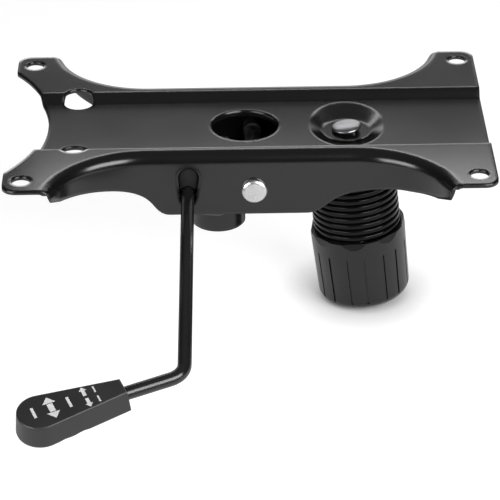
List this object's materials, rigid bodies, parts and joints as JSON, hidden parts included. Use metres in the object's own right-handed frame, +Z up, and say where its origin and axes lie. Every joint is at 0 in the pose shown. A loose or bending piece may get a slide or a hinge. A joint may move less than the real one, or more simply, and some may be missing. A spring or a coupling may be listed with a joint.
{
  "type": "chair swivel tilt control",
  "caption": "Office-chair tilt control: pressed black seat plate on a pivoting bracket with column socket, side lift lever, and coil tension spring with a grooved hand knob.",
  "frame": {"origin": "centre of the four seat bolt holes, on the top face of the ears", "axes": "+X to the front of the chair, +Y to the side away from the lever, +Z up"},
  "size_m": [0.2808, 0.3229, 0.1202],
  "materials": {
    "powder_black": "satin powder coat",
    "socket_black": "satin powder coat",
    "zinc": "zinc plated",
    "spring_black": "black oxide, oiled",
    "knob_plastic": "fine moulded grain",
    "paddle_plastic": "fine moulded grain",
    "rod_black": "glossy black paint",
    "shoe_plastic": "plain moulded",
    "nylon": "plain moulded, dark",
    "rubber": "matt"
  },
  "bodies": {
    "bracket": {"lower_bracket": "socket_black", "socket_brace": "socket_black", "column_socket": "socket_black", "bush_near": "nylon", "bush_far": "nylon", "spacer_near": "nylon", "spacer_far": "nylon", "front_rests": "rubber", "rear_rests": "rubber", "spring_seat": "zinc", "tension_spring": "spring_black"},
    "seat": {"seat_plate": "powder_black", "pivot_axle": "zinc"},
    "bolt": {"tension_bolt": "zinc"},
    "thrust": {"thrust_washer": "zinc"},
    "knob": {"tension_knob": "knob_plastic", "knob_nut": "zinc"},
    "shoe": {"lever_shoe": "shoe_plastic"},
    "lever": {"lever_rod": "rod_black", "lever_paddle": "paddle_plastic", "rod_clip": "zinc"}
  },
  "joints": [
    {"name": "seat_tilt", "type": "hinge", "parent": "bracket", "child": "seat", "pos_m": [0.0026, 0, -0.0238], "axis": [0, -1, 0], "range_deg": [0, 10], "stiffness_Nm_per_rad": 14.5, "springref_deg": -20.05, "deforming": ["tension_spring"]},
    {"name": "bolt_swing", "type": "hinge", "parent": "seat", "child": "bolt", "pos_m": [0.05691, 0, 0.0035], "axis": [0, -1, 0], "range_deg": [-5, 0]},
    {"name": "thrust_slide", "type": "slide", "parent": "bolt", "child": "thrust", "axis": [-0.1115, 0, 0.9938], "range_m": [0, 0.00345]},
    {"name": "knob_turn", "type": "hinge", "parent": "thrust", "child": "knob", "pos_m": [0.0674, 0, -0.09], "axis": [-0.1115, 0, 0.9938], "range_deg": [0, 829]},
    {"name": "lever_slide", "type": "slide", "parent": "bracket", "child": "shoe", "axis": [0, -1, 0], "range_m": [0, 0.0024]},
    {"name": "lever_lift", "type": "hinge", "parent": "shoe", "child": "lever", "pos_m": [-0.03611, -0.039, -0.02701], "axis": [-1, 0, 0], "range_deg": [0, 8]}
  ],
  "couplings": [
    {"joint": "bolt_swing", "follows": "seat_tilt", "ratio": -0.5},
    {"joint": "knob_turn", "follows": "thrust_slide", "rad_per_m": 4188.8}
  ]
}
